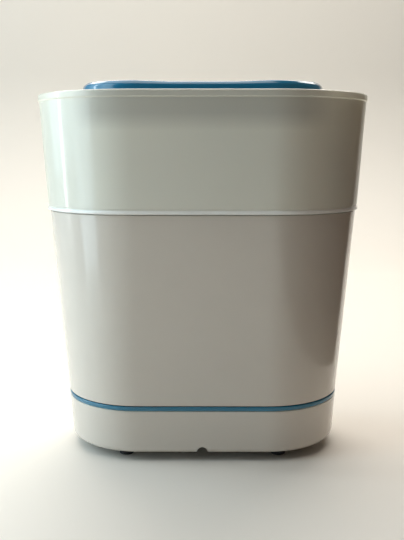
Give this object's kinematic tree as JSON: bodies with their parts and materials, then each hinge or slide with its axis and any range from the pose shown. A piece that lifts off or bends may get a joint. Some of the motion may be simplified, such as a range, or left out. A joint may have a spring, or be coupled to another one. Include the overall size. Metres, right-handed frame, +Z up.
{
  "type": "steam bottle sterilizer",
  "caption": "Oval electric steam sterilizer for baby bottles: heated base with cord notch, stacking large and small baskets, perforated plate and milky lid with a blue carrying handle.",
  "frame": {"origin": "on the table under the middle of the object", "axes": "+Z up, +X along the long side of the oval, +Y towards the front with the button; the cord notch is at -Y"},
  "size_m": [0.3, 0.184, 0.3367],
  "materials": {
    "white_shell": "gloss",
    "inner_white": "satin",
    "milky_lid": "gloss, milky and translucent",
    "blue_gloss": "gloss",
    "feet_rubber": "matt",
    "silicone": "matt",
    "steel": "brushed",
    "aluminium": "plain",
    "dark_plastic": "satin",
    "fuse_brass": "dull",
    "board_green": "lacquered",
    "clear_plastic": "clear",
    "wire_brown": "satin",
    "wire_blue": "satin",
    "wire_black": "satin",
    "wire_green": "satin"
  },
  "bodies": {
    "base": {"accent_ring": "blue_gloss", "base_housing": "white_shell", "board_screw_1": "steel", "board_screw_2": "steel", "bottom_cover": "inner_white", "circuit_board": "board_green", "cord_gland": "feet_rubber", "cover_screw_1": "steel", "cover_screw_2": "steel", "cover_screw_3": "steel", "cover_screw_4": "steel", "earth_wire": "wire_green", "foot_1": "feet_rubber", "foot_2": "feet_rubber", "foot_3": "feet_rubber", "foot_4": "feet_rubber", "heat_spreader": "aluminium", "heating_element": "steel", "heating_plate": "steel", "light_ring": "clear_plastic", "live_wire": "wire_brown", "neutral_wire": "wire_blue", "plate_clamp": "steel", "plate_gasket": "silicone", "plate_nut_1": "steel", "plate_nut_2": "steel", "plate_nut_3": "steel", "plate_nut_4": "steel", "power_lamp": "clear_plastic", "power_relay": "dark_plastic", "switch_housing": "dark_plastic", "switched_wire": "wire_black", "terminal_block": "inner_white", "thermal_fuse": "fuse_brass", "thermostat": "dark_plastic", "thermostat_bracket": "steel"},
    "power_button": {"power_button": "white_shell", "switch_plunger": "silicone"},
    "large_basket": {"large_basket": "white_shell"},
    "small_basket": {"small_basket": "inner_white"},
    "perforated_plate": {"perforated_plate": "inner_white"},
    "lid": {"lid_shell": "milky_lid", "lid_top": "milky_lid", "lid_handle": "blue_gloss", "handle_screw_1": "steel", "handle_screw_2": "steel", "handle_screw_3": "steel", "handle_screw_4": "steel"}
  },
  "joints": [
    {"name": "large_basket_lift", "type": "slide", "parent": "base", "child": "large_basket", "axis": [0, 0, 1], "range_m": [0, 0.06]},
    {"name": "small_basket_lift", "type": "slide", "parent": "large_basket", "child": "small_basket", "axis": [0, 0, 1], "range_m": [0, 0.06]},
    {"name": "perforated_plate_lift", "type": "slide", "parent": "small_basket", "child": "perforated_plate", "axis": [0, 0, 1], "range_m": [0, 0.05]},
    {"name": "lid_lift", "type": "slide", "parent": "perforated_plate", "child": "lid", "axis": [0, 0, 1], "range_m": [0, 0.115]},
    {"name": "button_press", "type": "slide", "parent": "base", "child": "power_button", "axis": [0, -1, 0], "range_m": [0, 0.0015], "stiffness_N_per_m": 400, "springref_m": -0.002}
  ]
}
